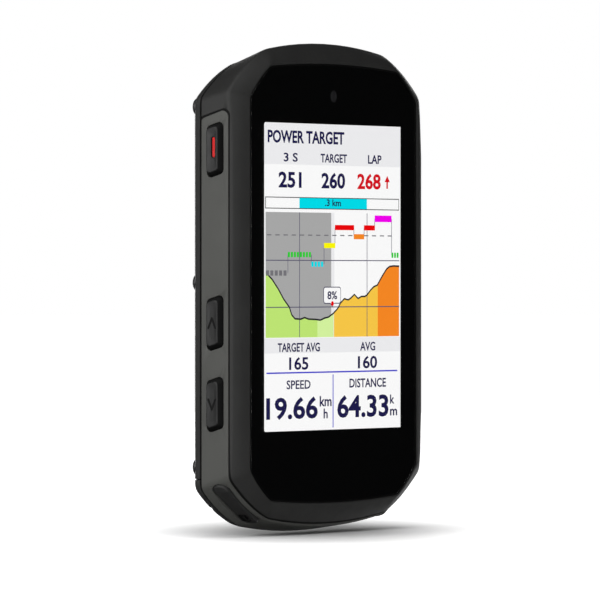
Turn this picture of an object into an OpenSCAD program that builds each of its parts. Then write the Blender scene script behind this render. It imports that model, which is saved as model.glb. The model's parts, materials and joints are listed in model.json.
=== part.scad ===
// Handlebar cycling computer: a portrait display in a faceted case, with seven sprung buttons,
// a hinged rubber port door and a quarter-turn mount on its back. All sizes are in millimetres.
// X runs across the screen, Z runs up it and +Y points out of the back. The origin is the
// centre of the mount's end face, so the glass lies at y = -overall_d. Inside the modules,
// y is the depth behind the glass, and device() moves each piece into that frame.

/* [Case] */
// Depth over everything, from the glass to the mount's end face
overall_d = 19.6; // [19.6:0.1:20.4]
// Half the width of the case
case_half_w = 28.9; // [28.7:0.1:29.3]
// Height of the case's top edge above the mount's centre
case_top = 42.55; // [42:0.05:43]
// Height of the bezel's bottom edge, below the mount's centre
bezel_bottom = -41.5; // [-42:0.05:-41.3]
// Depth at which the front half of the case ends
front_d = 7.9; // [7.9:0.05:8]
// Depth at which the rear half of the case starts
rear_d = 8.3; // [8.2:0.05:8.4]
// Thickness of the grey band that wraps the sides and the bottom
band_t = 1.0; // [0.8:0.1:1.1]
// Gap round the band
band_gap = 0.12; // [0.05:0.01:0.2]

/* [Display] */
// Thickness of the cover glass
glass_t = 1.0; // [0.9:0.05:1.0]
// Width of the LCD cell
lcd_w = 44.2; // [43:0.1:45]
// Height of the LCD cell
lcd_h = 59.5; // [58:0.1:60]
// Radius of the light sensor's window
sensor_r = 1.05; // [0.8:0.05:1.2]

/* [Buttons] */
// Length of a side button
button_l = 9.0; // [8.6:0.1:9.2]
// Depth at which a side button starts
button_y0 = 3.1; // [3.0:0.05:3.2]
// Depth at which a side button ends
button_y1 = 6.75; // [6.6:0.05:6.9]
// Fall of a side button's ends for each unit of depth
button_slant = 0.28; // [0.2:0.01:0.32]
// How far the side buttons stand proud of the case
button_proud = 0.95; // [0.7:0.05:1.1]
// How far the corner buttons stand proud of the case
corner_proud = 0.5; // [0.3:0.05:0.6]
// Length of a corner button
corner_l = 12.4; // [11.8:0.1:12.6]
// Width of a corner button
corner_w = 3.2; // [3:0.1:3.4]
// Gap round each button
button_gap = 0.12; // [0.08:0.01:0.15]
// Travel of a button
button_travel = 0.5; // [0.4:0.05:0.5]

/* [Quarter-turn mount] */
// Radius of the mount's hub
hub_r = 12.7; // [12.4:0.1:12.9]
// Radius over the two tabs
tab_r = 15.5; // [15.3:0.1:15.7]
// Thickness of the tabs
tab_t = 1.7; // [1.5:0.1:1.8]
// Half the angle that each tab spans
tab_half_angle = 30; // [26:1:32]

/* [USB port] */
// Height of the port's centre, below the mount's centre
port_z = -36.6; // [-36.7:0.05:-36.5]
// Outer width of the receptacle
port_w = 8.94; // [8.9:0.01:9]
// Outer height of the receptacle
port_h = 3.16; // [3.1:0.01:3.2]
// Wall of the receptacle's shell
port_wall = 0.3; // [0.25:0.05:0.3]
// Depth of the receptacle's mouth
port_mouth = 12.1; // [12:0.05:12.15]

/* [Hidden] */
$fn = 48;
corner_steps = 4;
end_steps = 8;
eps = 0.01;
far = 60;

// An outline is [half width, half width at the end facet, top, bottom, corner drop, end rise,
// corner radius]. Straight sides lead to four corner arcs and two shallow end arcs.
GLASS = [25.35, 19.25, 38.9, -37.4, 5.4, 0.8, 25];
BEZEL = [case_half_w, 17.4, case_top, bezel_bottom, 7.4, 1.45, 29];
BACK = [case_half_w - 0.2, 17.9, case_top - 2.25, -42.5, 6.6, 1.4, 29];
HAUNCH = [22.3, 14, 36.2, -38.4, 5.8, 1.0, 24];
BROW = [18.6, 12, 31.8, -33, 7, 0.8, 22];
PLATEAU = [15.8, 10.5, 25, -26.1, 6, 0.6, 20];
CAVITY = [26, 16.6, 37.8, -39.2, 5.4, 1.2, 26];
bezel_edge_d = 2;
bezel_edge_sides = 1.5;
bezel_edge_ends = 2.3;

// Depth stack
seat_d = glass_t + 0.15;
ledge_d = 3.1;
lcd_d = 1.1;
light_d = 1.8;
frame_d = ledge_d;
frame_t = 0.8;
board_d = 5;
board_t = 0.8;
board_back = board_d + board_t;
battery_d = 8;
battery_t = 4.6;
inner_back = 13.4;
plate_d = 15;
plateau_d = 16;
seam_z = -32.8;
seam_gap = 0.4;

// Screws
screw_places = [for (side = [-1, 1], z = [31, 0.9, -30.7]) [side * 26.3, z]];
screw_r = 0.8;
screw_seat = 9.35;
screw_head_r = 1.55;
screw_head_t = 1.0;
insert_r = 1.3;
insert_d = 4.9;
board_screw_places = [[17, 33], [-17, 33], [12, -30], [-12, -30]];
frame_screw_places = [[24.6, 14], [-24.6, 14], [24.6, -27], [-24.6, -27]];
mount_screw_places = [for (a = [45:90:315]) 6.5 * [cos(a), sin(a)]];

// Buttons. Each place is [x, z] on the case's outer face, the angle that turns +X to the
// direction in which the button is pressed, and whether it is mirrored to the right side.
stem_y = 5.2;
stem_r = 1.0;
stem_clear = 0.03;
seal_r = 0.36;
cap_foot = 1.55;
pocket_floor = cap_foot + button_travel + 0.1;
gland_end = 2.9;
block_end = 4.3;
stem_head = 0.4;
switch_s = 5.3;
mark_w = 0.9;
mark_l = 3.7;
mark_sink = 0.05;
mark_floor = 0.35;
button_mid = button_l / 2 + button_slant * (button_y1 - button_y0) / 2;
corner_y = 4.5;
corner_spec = body_spec(corner_y);
corner_a = [-corner_spec[0], corner_spec[3] + corner_spec[5] + corner_spec[4]];
corner_b = [-corner_spec[1], corner_spec[3] + corner_spec[5]];
corner_along = (corner_b - corner_a) / norm(corner_b - corner_a);
corner_in = [-corner_along.y, corner_along.x];
corner_sag = corner_spec[6] - sqrt(pow(corner_spec[6], 2) - pow(norm(corner_b - corner_a) / 2, 2));
corner_mid = (corner_a + corner_b) / 2 - corner_sag * corner_in;
corner_turn = -atan2(corner_in.y, corner_in.x);
POWER = 0;
UP = 1;
DOWN = 2;
LAP = 3;
SELECT = 4;
RETURN = 5;
START = 6;
power_z = 28.6 - button_mid;
upper_z = -1.0 - button_mid;
lower_z = -14.9 - button_mid;
PLACES = [
    [[-case_half_w, power_z], 0, false],
    [[-case_half_w, upper_z], 0, false],
    [[-case_half_w, lower_z], 0, false],
    [corner_mid, corner_turn, false],
    [[-case_half_w, upper_z], 0, true],
    [[-case_half_w, lower_z], 0, true],
    [corner_mid, corner_turn, true],
];
SIDE_BUTTONS = [POWER, UP, DOWN, SELECT, RETURN];
CORNER_BUTTONS = [LAP, START];

// Port door
door_w = 22;
door_bottom = -40.3;
door_t = 1.2;
door_gap = 0.12;
hinge_z = -34.4;
hinge_y = 13.85;
hinge_r = 0.7;
hinge_clear = 0.1;
plug_w = 11.4;
plug_h = 4.3;

// Colours
charcoal = [0.075, 0.078, 0.082];
band_grey = [0.22, 0.22, 0.205];
key_black = [0.06, 0.06, 0.065];
rubber_black = [0.045, 0.045, 0.05];
board_green = [0.05, 0.23, 0.14];
steel = [0.62, 0.63, 0.65];
gold = [0.78, 0.62, 0.3];

// Points of the arc of radius r from p to q, without q, bulging to the right of the way.
function arc(p, q, r, steps) = let (
    d = q - p,
    l = norm(d),
    c = (p + q) / 2 + [-d.y, d.x] / l * sqrt(r * r - l * l / 4),
    a = atan2(p.y - c.y, p.x - c.x),
    sweep = 2 * asin(l / 2 / r)
) [for (i = [0:steps - 1]) c + r * [cos(a + sweep * i / steps), sin(a + sweep * i / steps)]];

// Radius of the end arc that rises by s[5] over the half chord s[1].
function end_r(s) = (s[1] * s[1] + s[5] * s[5]) / (2 * s[5]);

function outline(s) = let (
    t2 = s[2] - s[5],
    t1 = t2 - s[4],
    b2 = s[3] + s[5],
    b1 = b2 + s[4]
) concat(
    arc([s[0], t1], [s[1], t2], s[6], corner_steps),
    arc([s[1], t2], [-s[1], t2], end_r(s), end_steps),
    arc([-s[1], t2], [-s[0], t1], s[6], corner_steps),
    [[-s[0], t1]],
    arc([-s[0], b1], [-s[1], b2], s[6], corner_steps),
    arc([-s[1], b2], [s[1], b2], end_r(s), end_steps),
    arc([s[1], b2], [s[0], b1], s[6], corner_steps),
    [[s[0], b1]]
);

// The outline moved inwards by t, nearly parallel to itself.
function inset(s, t) = [s[0] - t, s[1] - 0.31 * t, s[2] - t, s[3] + t, s[4] - 0.72 * t, s[5], s[6] - t];

function mix(a, b, f) = a * (1 - f) + b * f;
function body_spec(y) = mix(BEZEL, BACK, (y - bezel_edge_d) / (rear_d - bezel_edge_d));
function ring(s, y) = [for (p = outline(s)) [p.x, y, p.y]];

// Depth of the bezel's outer edge, which dips towards the top and bottom of the case.
function edge_depth(z) = let (f = min(1, max(0, (abs(z) - 25) / 13)))
    mix(bezel_edge_sides, bezel_edge_ends, f * f * (3 - 2 * f));
function edge_ring(s) = [for (p = outline(s)) [p.x, edge_depth(p.y), p.y]];

// The polygon with each corner rounded to radius r. Its points run counter-clockwise.
function rounded(points, r, steps) = [
    for (i = [0:len(points) - 1]) let (
        p = points[i],
        back = points[(i + len(points) - 1) % len(points)] - p,
        on = points[(i + 1) % len(points)] - p,
        u = back / norm(back),
        v = on / norm(on),
        half = acos(u * v) / 2,
        c = p + (u + v) / norm(u + v) * r / sin(half),
        a = atan2((p + u * r / tan(half) - c).y, (p + u * r / tan(half) - c).x)
    ) for (k = [0:steps]) c + r * [cos(a + (180 - 2 * half) * k / steps),
        sin(a + (180 - 2 * half) * k / steps)]
];

function rounded_box(w, h, r) = rounded([[-w, -h] / 2, [w, -h] / 2, [w, h] / 2, [-w, h] / 2], r, 6);

// A side button's outline in y and z about its stem, drawn in by s.
function button_outline(s) = let (
    front = button_y0 + s - stem_y,
    rear = button_y1 - s - stem_y,
    mid = (button_y0 + button_y1) / 2 - stem_y,
    half = button_l / 2 - s,
    dz_front = -button_slant * (front - mid),
    dz_rear = -button_slant * (rear - mid)
) rounded([[front, dz_front - half], [rear, dz_rear - half], [rear, dz_rear + half],
    [front, dz_front + half]], max(0.3, 0.9 - 0.5 * s), 4);

// A solid skinned over rings of points, each with the same number of points.
module skin(rings) {
    n = len(rings[0]);
    last = len(rings) - 1;
    polyhedron(
        points = [for (r = rings, p = r) p],
        faces = concat(
            [[for (j = [n - 1:-1:0]) j]],
            [for (i = [0:last - 1], j = [0:n - 1]) let (a = i * n + j, b = i * n + (j + 1) % n)
                [a, b, b + n]],
            [for (i = [0:last - 1], j = [0:n - 1]) let (a = i * n + j, b = i * n + (j + 1) % n)
                [a, b + n, a + n]],
            [[for (j = [0:n - 1]) last * n + j]]
        )
    );
}

// Frame and placing helpers
module device() { translate([0, -overall_d, 0]) children(); }

// A flat piece drawn in x and z, from depth y0 to depth y1.
module slab(y0, y1) {
    translate([0, y1, 0]) rotate([90, 0, 0]) linear_extrude(y1 - y0) children();
}

// A cylinder along Y.
module post(place, y0, y1, r) {
    translate([place.x, y0, place.y]) rotate([-90, 0, 0]) cylinder(h = y1 - y0, r = r);
}

// A tapered round along Y.
module taper(place, y0, y1, r0, r1) {
    translate([place.x, y0, place.y]) rotate([-90, 0, 0]) cylinder(h = y1 - y0, r1 = r0, r2 = r1);
}

// A block given by its lowest and highest corners.
module block(low, high) { translate(low) cube(high - low); }

// Children are drawn with +X as the way the button is pressed and the case's face at x = 0.
module at_button(i) {
    mirror([PLACES[i][2] ? 1 : 0, 0, 0]) translate([PLACES[i][0].x, stem_y, PLACES[i][0].y])
        rotate([0, PLACES[i][1], 0]) children();
}

// A cylinder along the way the button is pressed.
module plunger(s0, s1, r) { translate([s0, 0, 0]) rotate([0, 90, 0]) cylinder(h = s1 - s0, r = r); }

// A solid of the side button's outline between two positions along its travel.
module side_prism(s0, s1, shrink) {
    skin([for (s = [s1, s0]) [for (p = button_outline(shrink)) [s, p.x, p.y]]]);
}

// A capsule about the corner button's stem, between two positions along its travel.
module corner_prism(s0, s1, grow) {
    translate([s1, corner_y - stem_y, 0]) rotate([90, 0, -90])
        linear_extrude(s1 - s0) polygon(rounded_box(corner_w + 2 * grow, corner_l + 2 * grow, 1.5));
}

// The front half's outer form, grown by g.
module front_form(g = 0) {
    skin([
        ring(inset(GLASS, -0.25 - g), -g),
        edge_ring(inset(BEZEL, -g)),
        ring(inset(body_spec(front_d), -g), front_d),
    ]);
}

// The core that the band lies on.
module band_core() {
    skin([for (y = [1, rear_d + 1]) ring(inset(body_spec(y), band_t), y)]);
}

// The band's reach, which ends in a slanted edge high on each side.
module band_reach(g) {
    points = [[1.95 - g, -50], [rear_d + g, -50], [rear_d + g, 29 + g], [1.95 - g, 30.8 + g]];
    translate([-far, 0, 0]) rotate([90, 0, 90]) linear_extrude(2 * far)
        polygon(rounded(points, 1.2, 5));
}

// The rear half's outer form, moved forward by dy.
module rear_form(dy = 0) {
    translate([0, -dy, 0]) skin([
        ring(BACK, rear_d),
        ring(inset(BACK, 0.25), 9.4),
        ring(inset(BACK, 1.2), 10.2),
        ring(HAUNCH, inner_back),
        ring(BROW, plate_d),
        ring(PLATEAU, plateau_d),
    ]);
}

module rear_hollow() {
    skin([
        ring(inset(BACK, 2.4), rear_d - 0.1),
        ring(inset(BACK, 2.6), 9),
        ring(inset(HAUNCH, 0.9), 12.2),
        ring(inset(BROW, 0.4), 13.3),
        ring(PLATEAU, inner_back),
    ]);
}

module button_passages() {
    for (i = SIDE_BUTTONS) at_button(i) side_prism(-5, pocket_floor, 0);
    for (i = CORNER_BUTTONS) at_button(i) corner_prism(-5, pocket_floor, button_gap);
}

module front_bezel() color(charcoal) device() difference() {
    union() {
        difference() {
            front_form();
            slab(-1, seat_d) polygon(outline(GLASS));
            slab(0, ledge_d + eps) polygon(outline(inset(GLASS, 2.2)));
            slab(ledge_d, far) polygon(outline(CAVITY));
            difference() {
                band_reach(band_gap);
                band_core();
            }
        }
        for (i = [0:len(PLACES) - 1]) at_button(i)
            block([pocket_floor + 0.25, 3.3 - stem_y, -2.4], [block_end, 7.1 - stem_y, 2.4]);
        for (p = screw_places) intersection() {
            post(p, 4.2, front_d, 2);
            band_core();
        }
    }
    button_passages();
    for (i = [0:len(PLACES) - 1]) at_button(i) {
        plunger(pocket_floor - eps, gland_end, 1.85);
        plunger(gland_end - eps, block_end + eps, stem_r + stem_clear);
    }
    for (p = screw_places) post(p, insert_d, far, insert_r);
    for (p = frame_screw_places) post(p, 1.6, far, 0.6);
}

module side_band() color(band_grey) device() difference() {
    intersection() {
        front_form();
        band_reach(0);
    }
    band_core();
    button_passages();
}

module rear_cover() color(charcoal) device() difference() {
    union() {
        difference() {
            rear_form();
            intersection() {
                rear_hollow();
                block([-far, 0, seam_z + seam_gap / 2 + 1.2], [far, far, far]);
            }
        }
        for (p = screw_places) intersection() {
            post(p, rear_d, screw_seat, 2.1);
            rear_form();
        }
    }
    block([-far, 0, -far], [far, far, seam_z + seam_gap / 2]);
    for (p = screw_places) {
        post(p, 0, far, screw_r + 0.1);
        post(p, screw_seat, far, 2.1);
    }
    post([0, 0], plate_d, far, 14.05);
    for (p = mount_screw_places) post(p, 0, far, screw_r);
    post([0, 22.4], 0, far, 0.5);
}

module door_reach(g) {
    height = hinge_z - door_bottom + hinge_r + 0.5;
    slab(0, far) translate([0, door_bottom + height / 2])
        polygon(rounded_box(door_w + 2 * g, height + 2 * g, 1.6));
}

module rear_chin() color(charcoal) device() difference() {
    rear_form();
    block([-far, 0, seam_z - seam_gap / 2], [far, far, far]);
    for (side = [-1, 1]) intersection() {
        rear_hollow();
        block([side * 13 - 4, 0, -far], [side * 13 + 4, 10.5, hinge_z]);
    }
    difference() {
        intersection() {
            door_reach(0);
            block([-far, 0, -far], [far, far, hinge_z + hinge_r + hinge_clear]);
        }
        rear_form(door_t + 0.1);
    }
    translate([-door_w / 2, hinge_y, hinge_z]) rotate([0, 90, 0])
        cylinder(h = door_w, r = hinge_r + hinge_clear);
    slab(port_mouth, far) translate([0, port_z]) polygon(rounded_box(12, 5, 1.2));
    slab(0, far) translate([0, port_z]) polygon(rounded_box(port_w + 0.1, port_h + 0.1, 1.5));
    slab(0, 9.3) translate([0, port_z]) polygon(rounded_box(port_w + 2, port_h + 2, 2));
    translate([0, 12.2, door_bottom - 1.6]) sphere(r = 2.2);
    lanyard_channel();
}

// Two round holes that meet inside the lower left corner and leave a bar for a cord.
module lanyard_channel() {
    translate([corner_mid.x, 9.15, corner_mid.y - 0.5]) rotate([0, corner_turn, 0]) {
        translate([-4, 0, 0]) rotate([0, 90, 0]) cylinder(h = 8, r = 0.75);
        translate([3.6, -0.4, 0]) rotate([-90, 0, 0]) cylinder(h = 8, r = 0.75);
    }
}

module case_gasket() color(rubber_black) device() slab(front_d, rear_d) difference() {
    polygon(outline(inset(BACK, 0.4)));
    polygon(outline(inset(BACK, 1.4)));
}

module cover_glass() color([0.02, 0.02, 0.025]) device()
    slab(0, glass_t) polygon(outline(inset(GLASS, 0.3)));

module glass_gasket() color(rubber_black) device() {
    slab(0.1, seat_d) difference() {
        polygon(outline(GLASS));
        polygon(outline(inset(GLASS, 0.3)));
    }
    slab(glass_t, seat_d) difference() {
        polygon(outline(inset(GLASS, 0.3)));
        polygon(outline(inset(GLASS, 1.8)));
    }
}

// A flat layer behind the glass, centred on the LCD.
module screen_layer(y0, y1, w, h) block([-w / 2, y0, 0.25 - h / 2], [w / 2, y1, 0.25 + h / 2]);

module optical_adhesive() color([0.8, 0.85, 0.9, 0.5]) device()
    screen_layer(glass_t, lcd_d, lcd_w - 1, lcd_h - 1);

module lcd_panel() color([0.35, 0.4, 0.48]) device() screen_layer(lcd_d, light_d, lcd_w, lcd_h);

module backlight() color([0.9, 0.9, 0.88]) device()
    screen_layer(light_d, 2.9, lcd_w + 0.4, lcd_h + 0.6);

module light_sensor() color([0.1, 0.1, 0.14]) device() {
    post([0, 33.3], glass_t, 1.5, sensor_r);
    block([-2, 1.5, 31.6], [2, 1.7, 35]);
}

module display_flex() color([0.72, 0.45, 0.15]) device() {
    block([-7, 1.2, -30.9], [7, 1.35, -29.6]);
    block([-7, 1.2, -31.05], [7, 4.6, -30.9]);
    block([-7, 4.45, -30.9], [7, 4.6, -27.2]);
}

module display_connector() color([0.85, 0.8, 0.7]) device() difference() {
    block([-8, 4.1, -29.8], [8, board_d, -27]);
    block([-7.1, 4.4, -30], [7.1, 4.65, -27.1]);
}

module inner_frame() color([0.3, 0.31, 0.33]) device() difference() {
    union() {
        slab(frame_d, frame_d + frame_t) {
            polygon(rounded([[-22.8, -30.5], [22.8, -30.5], [22.8, 31], [16.5, 35.8], [-16.5, 35.8],
                [-22.8, 31]], 2, 4));
            for (p = frame_screw_places) hull() {
                translate(p) circle(r = 1.3, $fn = 24);
                translate([p.x * 0.9, p.y]) circle(r = 2, $fn = 24);
            }
        }
        for (p = board_screw_places) post(p, frame_d, board_d, 1.9);
    }
    slab(0, frame_d + 2) for (x = [-12, 12], z = [-14, 4, 20])
        translate([x, z]) polygon(rounded_box(17, 12, 2));
    for (p = board_screw_places) post(p, frame_d + 0.2, far, 0.7);
    for (p = frame_screw_places) post(p, 0, far, 0.65);
    block([-8, 0, -32], [8, far, -28.6]);
}

module frame_screws() color(steel) device() for (p = frame_screw_places) difference() {
    union() {
        post(p, 1.7, frame_d + frame_t, 0.6);
        post(p, frame_d + frame_t, frame_d + frame_t + 0.5, 1.1);
    }
    post(p, frame_d + frame_t + 0.1, far, 0.4, $fn = 6);
}

module main_board() color(board_green) device() difference() {
    slab(board_d, board_back) difference() {
        union() {
            polygon([[-23.2, -29.9], [-16.4, -34.2], [16.4, -34.2], [23.2, -29.9], [23.2, 30.4],
                [15.5, 35.6], [-15.5, 35.6], [-23.2, 30.4]]);
            translate([-6, -38.6]) square([12, 6]);
        }
        for (p = board_screw_places) translate(p) circle(r = 0.85);
    }
    for (i = [0:len(PLACES) - 1]) at_button(i)
        block([switch_s - 4, -1, -2.35], [switch_s + 3.3, 1, 2.35]);
}

module board_screws() color(steel) device() for (p = board_screw_places) difference() {
    union() {
        post(p, frame_d + 0.3, board_back, 0.7);
        post(p, board_back, board_back + 0.7, 1.4);
    }
    post(p, board_back + 0.2, far, 0.5, $fn = 6);
}

// A chip on the back of the board, with a dot at its first pin.
module chip(x, z, w, h, t) difference() {
    block([x - w / 2, board_back, z - h / 2], [x + w / 2, board_back + t, z + h / 2]);
    post([x - w / 2 + 1, z + h / 2 - 1], board_back + t - 0.1, far, 0.3);
}

module processor() color([0.12, 0.12, 0.13]) device() chip(-6, 6, 11, 11, 1.1);
module memory_chip() color([0.12, 0.12, 0.13]) device() chip(6, 6, 8, 11, 1);
module power_chip() color([0.12, 0.12, 0.13]) device() chip(-8, -16, 7, 7, 0.9);

module shield_can() color(steel) device() difference() {
    block([-13.5, board_back, -1.5], [12, board_back + 1.7, 13.5]);
    block([-13.3, 0, -1.3], [11.8, board_back + 1.5, 13.3]);
    for (x = [-10:4:10], z = [1:5:11]) post([x, z], 0, far, 0.6);
}

module gps_antenna() color([0.85, 0.78, 0.65]) device() {
    block([-6.5, board_back, 21.5], [6.5, 8.8, 34.5]);
    slab(8.8, 8.95) translate([0, 28]) polygon(rounded_box(10.5, 10.5, 1));
}

module radio_antenna() color([0.9, 0.9, 0.88]) device()
    block([-14.5, board_back, 31], [-8, board_back + 1.2, 33.2]);

module buzzer() color([0.12, 0.12, 0.13]) device() difference() {
    post([14, 26.5], board_back, board_back + 2.4, 4.4);
    post([14, 26.5], board_back + 1.9, far, 0.8);
}

module pressure_sensor() color(steel) device() difference() {
    block([9.2, board_back, -22.5], [11.7, board_back + 1, -20]);
    post([10.4, -21.2], board_back + 0.6, far, 0.35);
}

module vent_membrane() color([0.92, 0.92, 0.92]) device()
    post([0, 22.4], inner_back - 0.2, inner_back, 1.8);

// A tact switch set in a notch of the board, with a well that the stem's tip presses into.
module tact_switch() {
    difference() {
        block([switch_s, -0.85, -2.3], [switch_s + 3.2, 0.85, 2.3]);
        plunger(switch_s - eps, switch_s + 0.8, 0.65);
    }
}

module side_switches() color(steel) device() for (i = SIDE_BUTTONS) at_button(i) tact_switch();
module corner_switches() color(steel) device() for (i = CORNER_BUTTONS) at_button(i) tact_switch();

module button_seals() color(rubber_black) device() for (i = [0:len(PLACES) - 1]) at_button(i)
    translate([(pocket_floor + gland_end) / 2, 0, 0]) rotate([0, 90, 0]) rotate_extrude()
        translate([stem_r + stem_clear + seal_r, 0]) circle(r = seal_r, $fn = 24);

module battery() color([0.68, 0.7, 0.72]) device()
    translate([0, battery_d + battery_t / 2, -3.5]) linear_extrude(47, center = true)
        polygon(rounded_box(34, battery_t, 1.2));

module battery_pads() color([0.2, 0.2, 0.22]) device() for (z = [-15, 9])
    block([-11, battery_d + battery_t, z - 4], [11, inner_back, z + 4]);

module battery_leads() color([0.7, 0.08, 0.06]) device() for (x = [-12.6, -11.2]) {
    translate([x, 9.6, 20]) cylinder(h = 3.4, r = 0.4);
    translate([x, 9.6, 23.4]) sphere(r = 0.4);
    translate([x, 7.6, 23.4]) rotate([-90, 0, 0]) cylinder(h = 2, r = 0.4);
}

module battery_connector() color([0.9, 0.88, 0.8]) device()
    block([-14, board_back, 22], [-9.8, 7.6, 25.4]);

module usb_receptacle() color(steel) device() difference() {
    slab(board_back, port_mouth) translate([0, port_z]) polygon(rounded_box(port_w, port_h, 1.4));
    slab(board_back + 0.5, far) translate([0, port_z])
        polygon(rounded_box(port_w - 2 * port_wall, port_h - 2 * port_wall, 1.2));
}

module usb_tongue() color([0.1, 0.1, 0.1]) device()
    block([-3.34, board_back + 0.5, port_z - 0.35], [3.34, port_mouth - 0.9, port_z + 0.35]);

module usb_seal() color(rubber_black) device() slab(8.4, 9.3) translate([0, port_z]) difference() {
    polygon(rounded_box(port_w + 1.96, port_h + 1.96, 2));
    polygon(rounded_box(port_w + 0.02, port_h + 0.02, 1.4));
}

module port_door() color(rubber_black) device() {
    difference() {
        intersection() {
            rear_form();
            door_reach(-door_gap);
            block([-far, 0, -far], [far, far, hinge_z]);
        }
        rear_form(door_t);
    }
    translate([-door_w / 2 + 0.5, hinge_y, hinge_z]) rotate([0, 90, 0])
        cylinder(h = door_w - 1, r = hinge_r);
    intersection() {
        rear_form();
        slab(port_mouth + 0.2, far) translate([0, port_z]) polygon(rounded_box(plug_w, plug_h, 1));
    }
}

module mount_plate() color(charcoal) device() difference() {
    union() {
        post([0, 0], plate_d, plateau_d, 14);
        post([0, 0], plateau_d - eps, overall_d, hub_r);
        intersection() {
            post([0, 0], overall_d - tab_t, overall_d, tab_r);
            slab(0, far) for (turn = [0, 180]) rotate(turn)
                polygon([[0, 0], [far * tan(tab_half_angle), far], [-far * tan(tab_half_angle), far]]);
        }
    }
    post([0, 0], overall_d - 0.8, far, 9.5);
    for (p = mount_screw_places) {
        post(p, 0, far, screw_r + 0.1);
        post(p, overall_d - 1.6, far, 1.6);
    }
}

module mount_screws() color(steel) device() for (p = mount_screw_places) difference() {
    union() {
        post(p, inner_back + 0.2, overall_d - 1.6, screw_r);
        post(p, overall_d - 1.6, overall_d - 0.9, 1.5);
    }
    post(p, overall_d - 1.3, far, 0.6, $fn = 6);
}

module cover_screws() color([0.25, 0.25, 0.26]) device() for (p = screw_places) difference() {
    union() {
        post(p, insert_d + 0.3, screw_seat, screw_r);
        post(p, screw_seat, screw_seat + screw_head_t - 0.3, screw_head_r);
        taper(p, screw_seat + screw_head_t - 0.3, screw_seat + screw_head_t, screw_head_r, 1.2);
    }
    post(p, screw_seat + 0.4, far, 0.65, $fn = 6);
}

module threaded_inserts() color(gold) device() for (p = screw_places) difference() {
    post(p, insert_d, front_d, insert_r);
    post(p, 0, far, screw_r);
}

// A side button's cap, whose tapered walls lead to a smaller flat face.
module side_cap() {
    steps = [[cap_foot, button_gap], [0, button_gap], [-button_proud + 0.15, 0.65],
        [-button_proud, 0.85]];
    difference() {
        skin([for (s = steps) [for (p = button_outline(s[1])) [s[0], p.x, p.y]]]);
        plunger(0.6, far, stem_r);
    }
}

// An arrow head cut into a cap's face; turn is 0 for up and 180 for down.
module arrow(turn) {
    translate([-button_proud - 1, corner_y - stem_y + 0.4, 0]) rotate([turn, 0, 0])
        for (side = [-1, 1]) translate([0, 0, 0.4]) rotate([side * 32, 0, 0])
            block([0, -0.13, -1.5], [1.2, 0.13, 0]);
}

module corner_cap(i) {
    intersection() {
        at_button(i) difference() {
            corner_prism(-3, cap_foot, 0);
            plunger(0.6, far, stem_r);
        }
        front_form(corner_proud);
    }
}

module stem() {
    plunger(0.6, block_end, stem_r);
    plunger(block_end, block_end + stem_head, stem_r + 0.4);
    plunger(block_end + stem_head, switch_s - 0.05, 0.6);
}

// The red bar set in the power button's face, from s0 to s1 along its travel.
module power_bar(s0, s1) {
    translate([s1, corner_y - stem_y + 0.15, 0.4]) rotate([90, 0, -90])
        linear_extrude(s1 - s0) polygon(rounded_box(mark_w, mark_l, mark_w / 2 - 0.02));
}

module power_button() color(key_black) device() at_button(POWER) difference() {
    side_cap();
    power_bar(-far, mark_floor - button_proud);
}
module power_mark() color([0.75, 0.05, 0.04]) device() at_button(POWER)
    power_bar(mark_sink - button_proud, mark_floor - button_proud);
module up_button() color(key_black) device() at_button(UP) difference() {
    side_cap();
    arrow(0);
}
module down_button() color(key_black) device() at_button(DOWN) difference() {
    side_cap();
    arrow(180);
}
module lap_button() color(key_black) device() corner_cap(LAP);
module select_button() color(key_black) device() at_button(SELECT) side_cap();
module return_button() color(key_black) device() at_button(RETURN) side_cap();
module start_button() color(key_black) device() corner_cap(START);

module power_stem() color(steel) device() at_button(POWER) stem();
module up_stem() color(steel) device() at_button(UP) stem();
module down_stem() color(steel) device() at_button(DOWN) stem();
module lap_stem() color(steel) device() at_button(LAP) stem();
module select_stem() color(steel) device() at_button(SELECT) stem();
module return_stem() color(steel) device() at_button(RETURN) stem();
module start_stem() color(steel) device() at_button(START) stem();

front_bezel();
side_band();
rear_cover();
rear_chin();
case_gasket();
cover_glass();
glass_gasket();
optical_adhesive();
lcd_panel();
backlight();
light_sensor();
display_flex();
display_connector();
inner_frame();
frame_screws();
main_board();
board_screws();
processor();
memory_chip();
power_chip();
shield_can();
gps_antenna();
radio_antenna();
buzzer();
pressure_sensor();
vent_membrane();
side_switches();
corner_switches();
button_seals();
battery();
battery_pads();
battery_leads();
battery_connector();
usb_receptacle();
usb_tongue();
usb_seal();
port_door();
mount_plate();
mount_screws();
cover_screws();
threaded_inserts();
power_button();
power_mark();
up_button();
down_button();
lap_button();
select_button();
return_button();
start_button();
power_stem();
up_stem();
down_stem();
lap_stem();
select_stem();
return_stem();
start_stem();
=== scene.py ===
"""A handlebar cycling computer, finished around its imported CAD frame.

Sizes are in millimetres until a mesh is made. In the builders x runs across the screen, y is the
depth behind the glass and z runs up, as in the CAD source; build() moves points into the frame.
"""

import json
import math

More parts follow.
